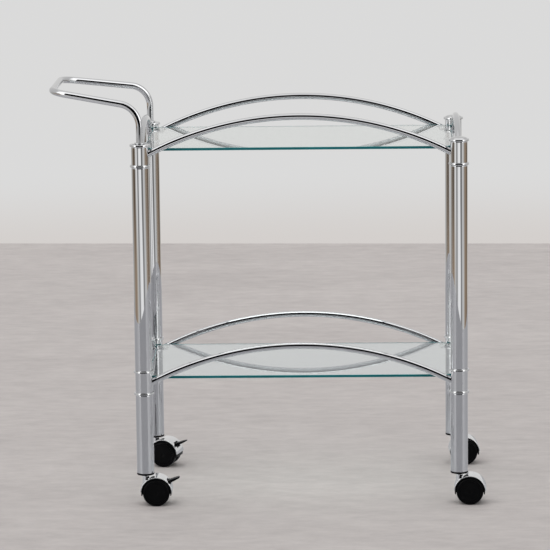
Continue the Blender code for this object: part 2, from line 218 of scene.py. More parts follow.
def glass_material():
    """Clear float glass that lets lamp light through, with a trace of haze on its faces."""
    mat, n, bsdf, out = new_material("clear_float_glass")
    bsdf.inputs["Transmission Weight"].default_value = 1.0
    bsdf.inputs["IOR"].default_value = 1.52
    bsdf.inputs["Metallic"].default_value = 0.0
    n.link(n.ramp(n.noise(3.0, 2.0, 0.5), [(0.3, (0.925, 0.968, 0.955)), (0.7, (0.940, 0.975, 0.964))]),
           bsdf.inputs["Base Color"])
    n.link(n.span(n.noise(26.0, 3.0, 0.6), 0.50, 0.80, 0.0, 0.012), bsdf.inputs["Roughness"])
    clear = n.add("ShaderNodeBsdfTransparent")
    clear.inputs["Color"].default_value = (0.965, 0.975, 0.972, 1.0)
    path = n.add("ShaderNodeLightPath")
    both = n.add("ShaderNodeMixShader")
    n.link(path.outputs["Is Shadow Ray"], both.inputs[0])
    n.link(bsdf.outputs["BSDF"], both.inputs[1])
    n.link(clear.outputs["BSDF"], both.inputs[2])
    n.link(both.outputs["Shader"], out.inputs["Surface"])
    return mat


def glass_edge_material(name, deep, pale, roughness):
    """Ground and polished edge: the long way through the glass turns it teal."""
    mat, n, bsdf, _ = new_material(name)
    n.link(n.ramp(n.noise(22.0, 3.0, 0.6, (1, 1, 6)), [(0.30, deep), (0.72, pale)]), bsdf.inputs["Base Color"])
    n.link(n.span(n.noise(120.0, 2.0, 0.5), 0.3, 0.7, roughness, roughness + 0.06), bsdf.inputs["Roughness"])
    bsdf.inputs["IOR"].default_value = 1.52
    bsdf.inputs["Specular IOR Level"].default_value = 0.18
    return mat


M_GLASS = glass_material()
M_EDGE = glass_edge_material("glass_edge_teal", (0.005, 0.130, 0.148), (0.014, 0.185, 0.205), 0.16)
M_ARRIS = glass_edge_material("glass_arris_pale", (0.12, 0.44, 0.46), (0.18, 0.52, 0.54), 0.20)


def pad_material():
    mat, n, bsdf, _ = new_material("clear_vinyl_pad")
    n.link(n.ramp(n.noise(200.0, 2.0, 0.5), [(0.3, (0.70, 0.72, 0.72)), (0.7, (0.80, 0.82, 0.82))]),
           bsdf.inputs["Base Color"])
    bsdf.inputs["Roughness"].default_value = 0.35
    bsdf.inputs["Transmission Weight"].default_value = 0.6
    bsdf.inputs["IOR"].default_value = 1.45
    return mat


M_PAD = pad_material()

# ----------------------------------------------------------------- mesh helpers


def finish_mesh(bm, name, sharp=35.0):
    bmesh.ops.remove_doubles(bm, verts=bm.verts, dist=1e-7)
    bmesh.ops.recalc_face_normals(bm, faces=bm.faces)
    mesh = bpy.data.meshes.new(name)
    bm.to_mesh(mesh)
    bm.free()
    mesh.shade_smooth()
    mesh.set_sharp_from_angle(angle=math.radians(sharp))
    return mesh


def hold(profile, near=0.00015, least=0.0012):
    """Add a point close to both ends of every long straight run, so smooth shading stays true to the wall."""
    out = []
    for i, (a, b) in enumerate(zip(profile, profile[1:] + profile[:1])):
        out.append(a)
        length = math.hypot(b[0] - a[0], b[1] - a[1])
        if length > least and min(a[0], b[0]) > 1e-6:
            t = near / length
            out.append((a[0] + (b[0] - a[0]) * t, a[1] + (b[1] - a[1]) * t))
            out.append((b[0] + (a[0] - b[0]) * t, b[1] + (a[1] - b[1]) * t))
    return out


def lathe(profile, segs, name="turned", axis="Z"):
    """Turn a closed (radius, height) outline. Radius 0 points become poles."""
    profile = hold(profile)
    bm = bmesh.new()
    rings = []
    for r, z in profile:
        if r < 1e-9:
            rings.append([bm.verts.new((0.0, 0.0, z))])
        else:
            rings.append([bm.verts.new((r * math.cos(2 * math.pi * k / segs), r * math.sin(2 * math.pi * k / segs), z))
                          for k in range(segs)])
    count = len(rings)
    for i in range(count):
        a, b = rings[i], rings[(i + 1) % count]
        if len(a) == 1 and len(b) == 1:
            continue
        for k in range(segs):
            j = (k + 1) % segs
            if len(a) == 1:
                bm.faces.new((a[0], b[k], b[j]))
            elif len(b) == 1:
                bm.faces.new((a[k], a[j], b[0]))
            else:
                bm.faces.new((a[k], a[j], b[j], b[k]))
    mesh = finish_mesh(bm, name)
    if axis == "Y":
        mesh.transform(Matrix.Rotation(math.radians(-90.0), 4, "X"))
    elif axis == "X":
        mesh.transform(Matrix.Rotation(math.radians(90.0), 4, "Y"))
    return mesh


def swept(points, radius, sides, name="swept"):
    """Round tube along a path, closed at both ends with a small rounded lip."""
    path = [Vector(p) for p in points]
    tangents = []
    for i in range(len(path)):
        a = path[max(i - 1, 0)]
        b = path[min(i + 1, len(path) - 1)]
        tangents.append((b - a).normalized())
    side = tangents[0].orthogonal().normalized()
    bm = bmesh.new()
    rings = []

    def ring(centre, tangent, side, r):
        other = tangent.cross(side).normalized()
        return [bm.verts.new(centre + (side * math.cos(t) + other * math.sin(t)) * r)
                for t in (2 * math.pi * k / sides for k in range(sides))]

    for i, (p, t) in enumerate(zip(path, tangents)):
        side = (side - t * side.dot(t)).normalized()
        if i == 0:
            rings.append(ring(p - t * 0.0, t, side, radius * 0.90))
            rings.append(ring(p + t * radius * 0.10, t, side, radius))
        elif i == len(path) - 1:
            rings.append(ring(p - t * radius * 0.10, t, side, radius))
            rings.append(ring(p, t, side, radius * 0.90))
        else:
            rings.append(ring(p, t, side, radius))
    for a, b in zip(rings, rings[1:]):
        for k in range(sides):
            j = (k + 1) % sides
            bm.faces.new((a[k], a[j], b[j], b[k]))
    bm.faces.new(rings[0][::-1])
    bm.faces.new(rings[-1])
    return finish_mesh(bm, name)


def moved(mesh, matrix):
    copy = mesh.copy()
    copy.transform(matrix)
    return copy


def shift(x=0.0, y=0.0, z=0.0):
    return Matrix.Translation((x, y, z))


def turn(angle, axis="Z"):
    return Matrix.Rotation(angle, 4, axis)


def combine(base, tool, operation):
    a = bpy.data.objects.new("base", base)
    b = bpy.data.objects.new("tool", tool)
    for ob in (a, b):
        bpy.context.scene.collection.objects.link(ob)
    mod = a.modifiers.new("combine", "BOOLEAN")
    mod.operation = operation
    mod.solver = "EXACT"
    mod.object = b
    graph = bpy.context.evaluated_depsgraph_get()
    result = bpy.data.meshes.new_from_object(a.evaluated_get(graph))
    for ob in (a, b):
        bpy.data.objects.remove(ob, do_unlink=True)
    result.shade_smooth()
    result.set_sharp_from_angle(angle=math.radians(32.0))
    return result


def union(a, b):
    return combine(a, b, "UNION")


def minus(a, b):
    return combine(a, b, "DIFFERENCE")


def piece(name, mesh, materials, body, slot, *nodes):
    """Place a finished mesh, ride it on its body and let it stand for its CAD nodes."""
    mesh = mesh.copy()
    mesh.name = name
    if not isinstance(materials, (list, tuple)):
        materials = [materials]
    keep = [p.material_index for p in mesh.polygons]
    mesh.materials.clear()
    for mat in materials:
        mesh.materials.append(mat)
    for p, index in zip(mesh.polygons, keep):
        p.material_index = min(index, len(materials) - 1)
    ob = bpy.data.objects.new(name, mesh)
    bpy.context.scene.collection.objects.link(ob)
    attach(ob, body)
    if nodes:
        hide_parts(*nodes)
    return ob


def bow(cx, cy, rx, ry, a0, a1, n):
    """Points of an elliptic arc, angles in degrees."""
    return [(cx + rx * math.cos(math.radians(a0 + (a1 - a0) * i / n)),
             cy + ry * math.sin(math.radians(a0 + (a1 - a0) * i / n))) for i in range(n + 1)]


# --------------------------------------------------------------- measured frame


def centre_of(node):
    lo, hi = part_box(node)
    return (lo + hi) / 2.0


AXES = {c: centre_of(c + "_lower_leg") for c in CORNERS}
leg_lo, leg_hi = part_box("front_left_lower_leg")
mid_lo, mid_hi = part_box("front_left_middle_post")
plug_lo, plug_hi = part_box("front_left_leg_end_plug")
dome_lo, dome_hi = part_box("front_right_domed_cap")
R = (leg_hi.x - leg_lo.x) / 2.0
BEAD_R = (dome_hi.x - dome_lo.x) / 2.0
WALL = 0.0015
LOW_Z0, LOW_Z1 = leg_hi.z + GAP, mid_lo.z - GAP          # lower collar
UP_Z0 = mid_hi.z + GAP                                   # upper collars
UP_Z1 = {"left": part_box("front_left_upper_collar")[1].z, "right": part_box("front_right_upper_collar")[1].z}
DOME_Z = dome_hi.z
XS = (AXES["front_right"].x - AXES["front_left"].x) / 2.0
YS = (AXES["rear_left"].y - AXES["front_left"].y) / 2.0
OX = (AXES["front_right"].x + AXES["front_left"].x) / 2.0
OY = (AXES["rear_left"].y + AXES["front_left"].y) / 2.0
SEGS = 72

# ----------------------------------------------------------------- posts, caps


def tube(low, high):
    """Tube with its ends drawn in slightly by the cutting and polishing."""
    e, draw, reach = 0.00035, 0.00045, 0.0016
    return lathe([(R - WALL, low + e), (R - WALL + e, low)] + bow(R - e, low + e, e, e, -90, 0, 4)
                 + bow(R - draw, high - reach, draw, reach, 0, 84, 10)
                 + [(R - WALL + e, high), (R - WALL, high - e)], SEGS, "tube")


def bead(z0, height=0.0040):
    """Ring with a sloped upper face, rolled edges and a hairline groove on each side."""
    g = 0.00025
    return ([(R - 0.0001, z0 - 0.0004), (R - g, z0)]
            + bow(BEAD_R - 0.0011, z0 + 0.0011, 0.0011, 0.0011, -90, 0, 7)
            + bow(BEAD_R - 0.0060, z0 + 0.0011, 0.0060, 0.0060, 3, 17, 6)
            + bow(BEAD_R - 0.0011, z0 + 0.0029, 0.0009, 0.0011, 25, 90, 6)
            + [(R - g, z0 + height), (R - 0.0001, z0 + height + 0.0004)])


leg_mesh = tube(leg_lo.z, leg_hi.z)
mid_mesh = tube(mid_lo.z, mid_hi.z)
SPIGOT = R - WALL - GAP


def bracket(top):
    """Short arm and round seat that carry one glass corner, towards +X before turning."""
    arm = lathe([(0, 0.0130), (0.0033, 0.0130), (0.0033, 0.0352)] + bow(0.0008, 0.0352, 0.0025, 0.0025, 0, 90, 6)
                + [(0, 0.0377)], 24, "arm", "X")
    seat = lathe([(0, top - 0.0030), (0.0062, top - 0.0030), (0.0070, top - 0.0024), (0.0070, top - 0.0019),
                  (0.0066, top - 0.0015), (0, top - 0.0015)], 32, "seat")
    return union(moved(arm, shift(0, 0, top - 0.0046)), moved(seat, shift(0.0330)))


low_glass_lo, low_glass_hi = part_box("lower_glass_shelf")
up_glass_lo, up_glass_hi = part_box("upper_glass_shelf")

low_profile = ([(0, LOW_Z0 - 0.020), (SPIGOT, LOW_Z0 - 0.020), (SPIGOT, LOW_Z0 + 0.0001), (R - 0.0004, LOW_Z0 + 0.0001)]
               + bead(LOW_Z0 + 0.0004)[1:] + bead(LOW_Z1 - 0.0044)[:-1]
               + [(R - 0.0004, LOW_Z1 - 0.0001), (SPIGOT, LOW_Z1 - 0.0001), (SPIGOT, LOW_Z1 + 0.020), (0, LOW_Z1 + 0.020)])


def up_profile(top):
    return ([(0, UP_Z0 - 0.020), (SPIGOT, UP_Z0 - 0.020), (SPIGOT, UP_Z0 + 0.0001), (R - 0.0004, UP_Z0 + 0.0001)]
            + bead(UP_Z0 + 0.0004)[1:]
            + bow(R - 0.0004, top - 0.0012, 0.0004, 0.0012, 0, 84, 8)
            + [(0.0066, top), (0.0066, 0.6517), (0, 0.6517)])


low_collar = lathe(low_profile, SEGS, "lower_collar")
up_collars = {side: lathe(up_profile(top), SEGS, "upper_collar") for side, top in UP_Z1.items()}
brackets = {"lower": bracket(low_glass_lo.z - GAP), "upper": bracket(up_glass_lo.z - GAP)}


def rim(low):
    """Rolled outer edge of a cap, its upper face leaning in."""
    return (bow(BEAD_R - 0.0011, low + 0.0011, 0.0011, 0.0011, -90, 0, 7)
            + bow(BEAD_R - 0.0062, low + 0.0011, 0.0062, 0.0062, 3, 17, 6)
            + bow(BEAD_R - 0.0011, low + 0.0030, 0.0009, 0.0011, 25, 90, 6))


low = UP_Z1["right"] + GAP
rise = DOME_Z - low - 0.0043
dome_profile = ([(0, 0.6530), (0.00635, 0.6530), (0.00635, low), (R - 0.0010, low)] + rim(low)
                + [(R - 0.0004, low + 0.0043)]
                + bow(0.0, low + 0.0043, R - 0.0008, rise, 8, 90, 18))
dome_profile[-1] = (0.0, DOME_Z)
dome_mesh = lathe(dome_profile, SEGS, "dome")

pad_mesh = lathe([(0, 0.0), (0.0060, 0.0)] + bow(0.0060, 0.00075, 0.0006, 0.00075, -90, 90, 8) + [(0, 0.0015)], 32, "pad")
plug_e = 0.0009
plug_mesh = lathe([(0.0036, plug_lo.z), (R - 0.0010, plug_lo.z)]
                  + bow(R + 0.0002 - plug_e, plug_lo.z + plug_e, plug_e, plug_e, -80, 0, 8)
                  + bow(R + 0.0002 - 0.0006, plug_lo.z + 0.0032 - 0.0006, 0.0006, 0.0006, 0, 90, 5)
                  + [(SPIGOT, plug_lo.z + 0.0032), (SPIGOT, plug_hi.z), (0.0036, plug_hi.z)], SEGS, "plug")

for c in CORNERS:
    at = AXES[c]
    place = shift(at.x, at.y, 0)
    inward = math.atan2((OY - at.y) / YS, (OX - at.x) / XS)
    piece(c + "_lower_leg_tube", moved(leg_mesh, place), M_TUBE, "frame", "chrome", c + "_lower_leg")
    piece(c + "_middle_post_tube", moved(mid_mesh, place), M_TUBE, "frame", "chrome", c + "_middle_post")
    piece(c + "_lower_collar_turned", moved(low_collar, place), M_TURNED, "frame", "chrome", c + "_lower_collar")
    piece(c + "_upper_collar_turned", moved(up_collars[c.split("_")[1]], place), M_TURNED, "frame", "chrome",
          c + "_upper_collar")
    piece(c + "_leg_end_plug_moulded", moved(plug_mesh, place), M_PLUG, "frame", "black_plastic", c + "_leg_end_plug")
    if c.endswith("right"):
        piece(c + "_domed_cap_turned", moved(dome_mesh, place), M_TURNED, "frame", "chrome", c + "_domed_cap")
    for tier, low in (("lower", low_glass_lo.z), ("upper", up_glass_lo.z)):
        seat_at = place @ turn(inward) @ shift(0.0330, 0, low - GAP - 0.0015)
        piece("%s_%s_glass_pad" % (c, tier), moved(pad_mesh, seat_at), M_PAD, "frame", "clear_glass")
        piece("%s_%s_shelf_bracket" % (c, tier), moved(brackets[tier], place @ turn(inward)), M_TURNED, "frame", "chrome")

# ----------------------------------------------------------------------- glass
NOTCH = 0.0200


def shelf(lo, hi):
    """Plate with concave notches round the posts and a fine ground arris on every edge."""
    gx, gy = (hi.x - lo.x) / 2.0, (hi.y - lo.y) / 2.0

    def outline(inset):
        points = []
        rn = NOTCH + inset
        hx, hy = gx - inset, gy - inset
        for sx, sy in ((1, 1), (-1, 1), (-1, -1), (1, -1)):
            cx, cy = sx * XS, sy * YS
            on_long = cx - sx * math.sqrt(rn ** 2 - (YS - hy) ** 2), sy * hy
            on_end = sx * hx, cy - sy * math.sqrt(rn ** 2 - (XS - hx) ** 2)
            first, last = (on_end, on_long) if sx * sy > 0 else (on_long, on_end)
            a0 = math.atan2(first[1] - cy, first[0] - cx)
            a1 = math.atan2(last[1] - cy, last[0] - cx)
            while a1 - a0 > math.pi:
                a1 -= 2 * math.pi
            while a1 - a0 < -math.pi:
                a1 += 2 * math.pi
            points += [(cx + rn * math.cos(a0 + (a1 - a0) * i / 18), cy + rn * math.sin(a0 + (a1 - a0) * i / 18))
                       for i in range(19)]
        return points

    bm = bmesh.new()
    arris = 0.00045
    levels = [(arris, lo.z), (0.0, lo.z + arris), (0.0, hi.z - arris), (arris, hi.z)]
    loops = [[bm.verts.new((OX + x, OY + y, z)) for x, y in outline(inset)] for inset, z in levels]
    count = len(loops[0])
    for level, (a, b) in enumerate(zip(loops, loops[1:])):
        for k in range(count):
            j = (k + 1) % count
            face = bm.faces.new((a[k], a[j], b[j], b[k]))
            face.material_index = 1 if level == 1 else 2
    bm.faces.new(loops[0][::-1]).material_index = 0
    bm.faces.new(loops[-1]).material_index = 0
    bmesh.ops.recalc_face_normals(bm, faces=bm.faces)
    mesh = bpy.data.meshes.new("shelf")
    bm.to_mesh(mesh)
    bm.free()
    mesh.shade_smooth()
    mesh.set_sharp_from_angle(angle=math.radians(30.0))
    return mesh


piece("lower_glass_pane", shelf(low_glass_lo, low_glass_hi), [M_GLASS, M_EDGE, M_ARRIS], "frame", "clear_glass",
      "lower_glass_shelf")
piece("upper_glass_pane", shelf(up_glass_lo, up_glass_hi), [M_GLASS, M_EDGE, M_ARRIS], "frame", "clear_glass",
      "upper_glass_shelf")

# ----------------------------------------------------------------------- rails
RAIL_R = 0.0060


def arch(half, rise, z_end, n):
    radius = (half * half + rise * rise) / (2.0 * rise)
    sweep = math.asin(half / radius)
    return [(radius * math.sin(sweep * (2.0 * i / n - 1.0)),
             z_end + rise - radius + radius * math.cos(sweep * (2.0 * i / n - 1.0))) for i in range(n + 1)]


RAIL_END = {"lower": 0.2325, "upper": 0.6583}
for tier in ("lower", "upper"):
    end = RAIL_END[tier]
    for side, sy in (("front", -1), ("rear", 1)):
        name = "%s_%s_rail" % (tier, side)
        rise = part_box(name)[1].z - RAIL_R - end
        pts = [(OX + u, OY + sy * YS, z) for u, z in arch(XS - R + 0.003, rise + 0.0014, end - 0.0014, 96)]
        piece(name + "_bent_tube", swept(pts, RAIL_R, 32), M_RAIL, "frame", "chrome", name)
    for side, sx in (("left", -1), ("right", 1)):
        name = "%s_%s_rail" % (tier, side)
        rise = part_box(name)[1].z - RAIL_R - end
        pts = [(OX + sx * XS, OY + v, z) for v, z in arch(YS - R + 0.003, rise + 0.0018, end - 0.0018, 64)]
        piece(name + "_bent_tube", swept(pts, RAIL_R, 32), M_RAIL, "frame", "chrome", name)

# ----------------------------------------------------------------- push handle
HANDLE_R = 0.00635


def filleted(corners, radii, steps):
    out = [Vector(corners[0])]
    for i in range(1, len(corners) - 1):
        here = Vector(corners[i])
        back = (Vector(corners[i - 1]) - here).normalized()
        ahead = (Vector(corners[i + 1]) - here).normalized()
        half = 0.5 * back.angle(ahead)
        run = radii[i - 1] / math.tan(half)
        centre = here + (back + ahead).normalized() * (radii[i - 1] / math.sin(half))
        e0 = here + back * run - centre
        e1 = here + ahead * run - centre
        whole = e0.angle(e1)
        for k in range(steps + 1):
            t = k / steps
            out.append(centre + (e0 * math.sin((1 - t) * whole) + e1 * math.sin(t * whole)) / math.sin(whole))
    out.append(Vector(corners[-1]))
    return out


def dense(points, gap):
    """Add points on long straight runs, so that the sweep stays even."""
    out = [points[0]]
    for a, b in zip(points, points[1:]):
        n = max(1, int((b - a).length / gap))
        out += [a.lerp(b, (k + 1) / n) for k in range(n)]
    return out


BAR = (-0.4563, 0.1061, 0.7676)
BEND_Z = 0.7441
corners = [(OX - XS, OY - YS, 0.6535), (OX - XS, OY - YS, BEND_Z), (OX + BAR[0], OY - BAR[1], BAR[2]),
           (OX + BAR[0], OY + BAR[1], BAR[2]), (OX - XS, OY + YS, BEND_Z), (OX - XS, OY + YS, 0.6535)]
handle = swept(dense(filleted(corners, (0.0416, 0.0416, 0.0416, 0.0416), 22), 0.012), HANDLE_R, 40)
low = UP_Z1["left"] + GAP
ring_profile = ([(0, low), (R - 0.0010, low)] + rim(low)
                + [(R - 0.0010, low + 0.0043), (HANDLE_R + 0.0026, low + 0.0048)]
                + bow(HANDLE_R + 0.0026, low + 0.0058, 0.0010, 0.0010, 0, 90, 5)
                + [(HANDLE_R + 0.0006, low + 0.0068), (HANDLE_R + 0.0002, low + 0.0062), (0, low + 0.0062)])
ring_mesh = lathe(ring_profile, SEGS, "ring")
piece("push_handle_bent_tube", handle, M_RAIL, "frame", "chrome", "push_handle")
for c in ("front_left", "rear_left"):
    piece(c + "_ring_cap_turned", moved(ring_mesh, shift(AXES[c].x, AXES[c].y, 0)), M_TURNED, "frame", "chrome")

# --------------------------------------------------------------------- casters
axle_lo, axle_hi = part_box("front_left_caster_axle")
WHEEL_R = (axle_lo.z + axle_hi.z) / 2.0
TRAIL = 0.0200
WHEEL_IN, WHEEL_OUT = 0.0056, 0.0215
HOOD_IN, HOOD_OUT, HOOD_HALF, WEB_HALF = 0.0262, 0.0281, 0.0200, 0.0050
COVER_IN, COVER_OUT = 0.0284, 0.0299
STEM_R, AXLE_R = 0.00325, 0.0025
BOSS_TOP, BOSS_R, NECK_R = 0.0553, 0.0048, 0.0062
PIN_DIST, PIN_ANGLE = 0.0296, math.radians(38.0)
PIN_X = TRAIL + PIN_DIST * math.cos(PIN_ANGLE)
PIN_Z = WHEEL_R + PIN_DIST * math.sin(PIN_ANGLE)
PEDAL_ANGLE = math.radians(24.0)


def cross_drum(r, y0, y1, x, z, segs=40):
    e = 0.0002
    mesh = lathe([(0, y0), (r - e, y0), (r, y0 + e), (r, y1 - e), (r - e, y1), (0, y1)], segs, "drum", "Y")
    mesh.transform(shift(x, 0, z))
    return mesh


def band(section, a0, a1, steps, name="band"):
    """Sweep a closed (radius, y) section round the axle from a0 to a1 degrees, closed at both ends."""
    bm = bmesh.new()
    rings = []
    for i in range(steps + 1):
        a = math.radians(a0 + (a1 - a0) * i / steps)
        rings.append([bm.verts.new((TRAIL + r * math.cos(a), y, WHEEL_R + r * math.sin(a))) for r, y in section])
    n = len(section)
    for a, b in zip(rings, rings[1:]):
        for k in range(n):
            j = (k + 1) % n
            bm.faces.new((a[k], a[j], b[j], b[k]))
    bm.faces.new(rings[0][::-1])
    bm.faces.new(rings[-1])
    return finish_mesh(bm, name)


def rounded_section(r0, r1, half, e, n=5):
    """Rounded rectangle from radius r0 to r1 and from -half to half."""
    return (bow(r1 - e, half - e, e, e, 0, 90, n) + bow(r0 + e, half - e, e, e, 90, 180, n)
            + bow(r0 + e, -half + e, e, e, 180, 270, n) + bow(r1 - e, -half + e, e, e, 270, 360, n))


def web():
    """Centre wall of the hood: half disc that carries the axle."""
    lip = 10.0
    side = bow(TRAIL, WHEEL_R, HOOD_OUT - 0.0008, HOOD_OUT - 0.0008, -lip, 180 + lip, 40)
    bm = bmesh.new()
    low = [bm.verts.new((x, -WEB_HALF, z)) for x, z in side]
    high = [bm.verts.new((x, WEB_HALF, z)) for x, z in side]
    n = len(side)
    for k in range(n):
        j = (k + 1) % n
        bm.faces.new((low[k], low[j], high[j], high[k]))
    bm.faces.new(low[::-1])
    bm.faces.new(high)
    return finish_mesh(bm, "web")


def hood(braked):
    body = union(band(rounded_section(HOOD_IN, HOOD_OUT, HOOD_HALF, 0.0006), -10.0, 190.0, 72, "hood"), web())
    boss = lathe([(0, 0.0400), (BOSS_R, 0.0400), (BOSS_R, BOSS_TOP - 0.0003), (BOSS_R - 0.0003, BOSS_TOP),
                  (0, BOSS_TOP)], 40, "boss")
    body = union(body, boss)
    if braked:
        for s in (-1, 1):
            y0, y1 = sorted((s * 0.0073, s * 0.0095))
            body = union(body, cross_drum(0.0034, y0, y1, PIN_X, PIN_Z, 28))
    body = minus(body, cross_drum(AXLE_R + 0.0002, -0.008, 0.008, TRAIL, WHEEL_R, 32))
    body = minus(body, lathe([(0, 0.0295), (STEM_R + 0.0002, 0.0295), (STEM_R + 0.0002, 0.060), (0, 0.060)], 32))
    if braked:
        body = minus(body, cross_drum(0.0049, -0.0073, 0.0073, PIN_X, PIN_Z, 32))
        body = minus(body, cross_drum(0.0017, -0.012, 0.012, PIN_X, PIN_Z, 24))
    return body


def cover(braked):
    """Chromed band with rolled sides and a round neck about the stem."""
    body = band(rounded_section(COVER_IN, COVER_OUT, HOOD_HALF, 0.0007, 6), 4.0, 176.0, 72, "cover")
    neck = lathe([(0, 0.0370), (NECK_R, 0.0370), (NECK_R, BOSS_TOP - 0.0010)]
                 + bow(NECK_R - 0.0010, BOSS_TOP - 0.0010, 0.0010, 0.0010, 0, 90, 6) + [(0, BOSS_TOP)], 48, "neck")
    inner = lathe([(0, -0.030), (COVER_IN, -0.030), (COVER_IN, 0.030), (0, 0.030)], 144, "inner", "Y")
    inner.transform(shift(TRAIL, 0, WHEEL_R))
    body = union(body, minus(neck, inner))
    body = minus(body, lathe([(0, 0.030), (BOSS_R + 0.0002, 0.030), (BOSS_R + 0.0002, 0.070), (0, 0.070)], 40))
    if braked:
        body = minus(body, cross_drum(0.0062, -0.0099, 0.0099, PIN_X, PIN_Z, 36))
    return body


def wheel():
    """Outer wheel: rounded tyre, a fine groove, a slightly domed hub cap and a small centre dimple."""
    r, t = WHEEL_R, WHEEL_OUT
    profile = [(0, t - 0.0030), (AXLE_R + 0.0002, t - 0.0030), (AXLE_R + 0.0002, WHEEL_IN), (r - 0.0016, WHEEL_IN)]
    profile += bow(r - 0.0016, WHEEL_IN + 0.0016, 0.0016, 0.0016, -90, 0, 6)[1:]
    profile += bow(r - 0.0032, t - 0.0034, 0.0032, 0.0030, 0, 82, 9)
    profile += [(r - 0.0042, t - 0.00040), (0.0203, t - 0.00045), (0.0200, t - 0.0010), (0.0193, t - 0.0010)]
    profile += [(0.0190, t - 0.00035)] + [(0.0182 * (1 - k / 9.0) + 0.0040 * k / 9.0, t - 0.00022 * (1 - k / 9.0))
                                          for k in range(10)]
    profile += [(0.0036, t - 0.0003), (0.0030, t - 0.0006), (0, t - 0.0007)]
    return lathe(profile, 96, "wheel", "Y")


def lever():
    """Brake pedal about its trunnion axis: cam hub, tapering blade with rounded corners and grip ribs."""
    tip, width = 0.0215, 0.0070
    bm = bmesh.new()
    rings = []
    stations = [0.0, 0.002, 0.004, 0.006, 0.008, 0.010, 0.0120, 0.0135, 0.0150, 0.0165, 0.0180,
                0.0190, 0.0198, 0.0205, 0.0210, 0.02135, 0.0215]
    for s in stations:
        t = s / tip
        corner = 0.0032
        near = max(0.0, s - (tip - corner))
        half = width - corner + math.sqrt(max(corner ** 2 - near ** 2, 0.0)) if near > 0 else width
        half = max(half, width - corner + 0.0003)
        top = 0.0024 - 0.0011 * t + 0.0006 * math.cos(math.pi * (t - 0.2))
        low = -0.0026 + 0.0010 * t + 0.0006 * t * t
        if near > corner * 0.85:
            squeeze = (near - corner * 0.85) / (corner * 0.15)
            mid = 0.5 * (top + low)
            top = mid + (top - mid) * (1 - 0.45 * squeeze)
            low = mid + (low - mid) * (1 - 0.45 * squeeze)
        e = min(0.0006, 0.4 * (top - low))
        section = (bow(half - e, top - e, e, e, 0, 90, 4) + bow(-half + e, top - e, e, e, 90, 180, 4)
                   + bow(-half + e, low + e, e, e, 180, 270, 4) + bow(half - e, low + e, e, e, 270, 360, 4))
        rings.append([bm.verts.new((s, y, z)) for y, z in section])
    n = len(rings[0])
    for a, b in zip(rings, rings[1:]):
        for k in range(n):
            j = (k + 1) % n
            bm.faces.new((a[k], a[j], b[j], b[k]))
    bm.faces.new(rings[0][::-1])
    bm.faces.new(rings[-1])
    body = finish_mesh(bm, "blade")
    hub = lathe([(0, -0.0070), (0.0029, -0.0070)] + bow(0.0029, -0.0067, 0.0003, 0.0003, -90, 0, 3)
                + bow(0.0029, 0.0067, 0.0003, 0.0003, 0, 90, 3) + [(0, 0.0070)], 40, "hub", "Y")
    body = union(body, hub)
    nose = lathe([(0, -0.0066), (0.0016, -0.0066), (0.0016, 0.0066), (0, 0.0066)], 28, "nose", "Y")
    nose.transform(shift(0.0026 * math.cos(math.radians(216)), 0, 0.0026 * math.sin(math.radians(216))))
    body = union(body, nose)
    for k in range(4):
        rib = lathe([(0, -0.0052)] + bow(0.0, -0.0048, 0.0004, 0.0004, -60, 0, 3)
                    + bow(0.0, 0.0048, 0.0004, 0.0004, 0, 60, 3) + [(0, 0.0052)], 14, "rib", "Y")
        s = 0.0128 + 0.0020 * k
        t = s / tip
        rib.transform(shift(s, 0, 0.0024 - 0.0011 * t + 0.0006 * math.cos(math.pi * (t - 0.2))))
        body = union(body, rib)
    body = union(body, cross_drum(0.0015, -0.0093, 0.0093, 0, 0, 24))
    body.transform(turn(-PEDAL_ANGLE, "Y"))
    return body


axle_mesh = cross_drum(AXLE_R, -(WHEEL_OUT - 0.0033), WHEEL_OUT - 0.0033, TRAIL, WHEEL_R, 32)
stem_mesh = lathe([(0, 0.0300), (STEM_R - 0.0004, 0.0300), (STEM_R, 0.0304), (STEM_R, BOSS_TOP + GAP),
                   (0.0060, BOSS_TOP + GAP), (0.0065, BOSS_TOP + GAP + 0.0004), (0.0065, plug_lo.z - GAP - 0.0004),
                   (0.0060, plug_lo.z - GAP), (STEM_R, plug_lo.z - GAP), (STEM_R, plug_lo.z + 0.031),
                   (0, plug_lo.z + 0.031)], 40, "stem")
hoods = {b: hood(b) for b in (False, True)}
covers = {b: cover(b) for b in (False, True)}
wheel_mesh = wheel()
wheel_mesh.transform(shift(TRAIL, 0, WHEEL_R))
wheel_near = wheel()
wheel_near.transform(shift(TRAIL, 0, WHEEL_R) @ turn(math.pi))
lever_mesh = lever()
lever_mesh.transform(shift(PIN_X, 0, PIN_Z))

for c in CORNERS:
    at = AXES[c]
    axle = centre_of(c + "_caster_axle")
    place = shift(at.x, at.y, 0) @ turn(math.atan2(axle.y - at.y, axle.x - at.x))
    braked = c in BRAKED
    body = c + "_caster"
    piece(c + "_caster_stem_turned", moved(stem_mesh, shift(at.x, at.y, 0)), M_STEEL, "frame", "steel", c + "_caster_stem")
    piece(c + "_caster_hood_moulded", moved(hoods[braked], place), M_HOOD, body, "black_plastic", c + "_caster_hood")
    piece(c + "_caster_cover_plated", moved(covers[braked], place), M_COVER, body, "chrome", c + "_caster_chrome_cover")
    piece(c + "_caster_axle_pin", moved(axle_mesh, place), M_STEEL, body, "steel", c + "_caster_axle")
    piece(c + "_wheel_a_moulded", moved(wheel_near, place), M_WHEEL, c + "_wheel_a", "black_tread", c + "_caster_wheel_a")
    piece(c + "_wheel_b_moulded", moved(wheel_mesh, place), M_WHEEL, c + "_wheel_b", "black_tread", c + "_caster_wheel_b")
    if braked:
        piece(c + "_brake_pedal_moulded", moved(lever_mesh, place), M_LEVER, c.replace("_left", "_left_brake"),
              "black_plastic", c + "_brake_lever")

# ----------------------------------------------------------------------- stage


